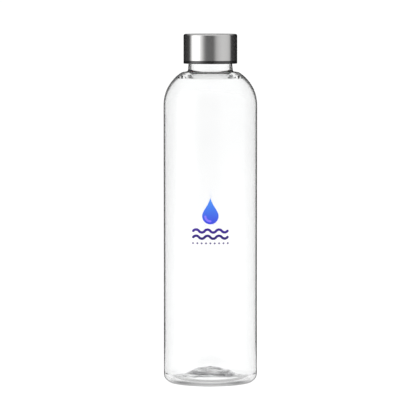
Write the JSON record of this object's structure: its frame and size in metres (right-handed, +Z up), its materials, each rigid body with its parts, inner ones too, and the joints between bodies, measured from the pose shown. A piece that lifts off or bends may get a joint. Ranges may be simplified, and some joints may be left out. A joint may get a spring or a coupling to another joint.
{
  "type": "water bottle",
  "caption": "Clear glass cylindrical water bottle with a domed shoulder, narrow threaded neck, pushed-up base and a brushed steel screw cap over a black liner and a soft gasket.",
  "frame": {"origin": "centre of the resting plane, on the bottle's axis", "axes": "+Z up along the bottle's axis; the printed mark faces -Y, so +X is to the right seen from the front"},
  "size_m": [0.076, 0.0761, 0.2836],
  "materials": {
    "glass": "polished, clear and colourless",
    "steel": "fine brushed, satin",
    "black_plastic": "moulded, slightly glossy",
    "silicone": "matt, translucent white",
    "ink_blue": "screen-printed ink",
    "ink_violet": "screen-printed ink",
    "ink_indigo": "screen-printed ink",
    "ink_grey": "screen-printed ink"
  },
  "bodies": {
    "bottle": {"glass_bottle": "glass", "print_drop": "ink_blue", "print_glint": "ink_violet", "print_waves": "ink_indigo", "print_dots": "ink_grey"},
    "seal": {"cap_gasket": "silicone"},
    "cap": {"cap_shell": "steel", "cap_insert": "black_plastic"}
  },
  "joints": [
    {"name": "cap_rise", "type": "slide", "parent": "bottle", "child": "seal", "axis": [0, 0, 1], "range_m": [0, 0.028]},
    {"name": "cap_turn", "type": "hinge", "parent": "seal", "child": "cap", "pos_m": [0, 0, 0.2596], "axis": [0, 0, 1], "range_deg": [0, 2520]}
  ],
  "couplings": [
    {"joint": "cap_rise", "follows": "cap_turn", "m_per_rad": 0.00063662}
  ]
}
